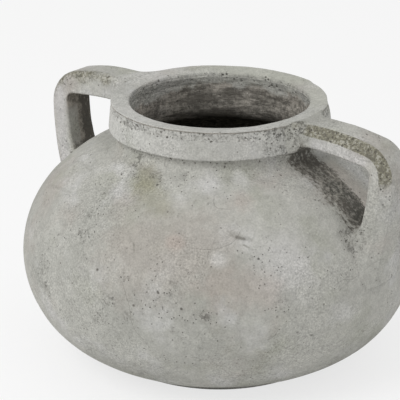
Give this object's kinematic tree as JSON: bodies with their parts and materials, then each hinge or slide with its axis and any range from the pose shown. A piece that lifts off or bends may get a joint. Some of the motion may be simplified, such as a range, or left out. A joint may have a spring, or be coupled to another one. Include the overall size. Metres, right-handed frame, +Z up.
{
  "type": "pelike",
  "caption": "Squat wide-mouthed jar with a low round belly, a thick collar round the mouth and strap handles from the rim to the shoulder.",
  "frame": {"origin": "middle of the face that the jar stands on", "axes": "+Z up through the mouth, +X along the line through the handles, towards the right handle"},
  "size_m": [0.3836, 0.36, 0.241],
  "materials": {
    "body_cement": "matte weathered grey cement with pits and pale patches",
    "collar_cement": "matte grey cement, rubbed a little lighter",
    "slab_cement": "matte grey cement, a little darker underneath"
  },
  "bodies": {
    "root": {"floor_slab": "slab_cement", "lower_bowl": "body_cement", "upper_bowl": "body_cement", "rim_collar": "collar_cement", "right_handle": "body_cement", "left_handle": "body_cement"}
  },
  "joints": []
}
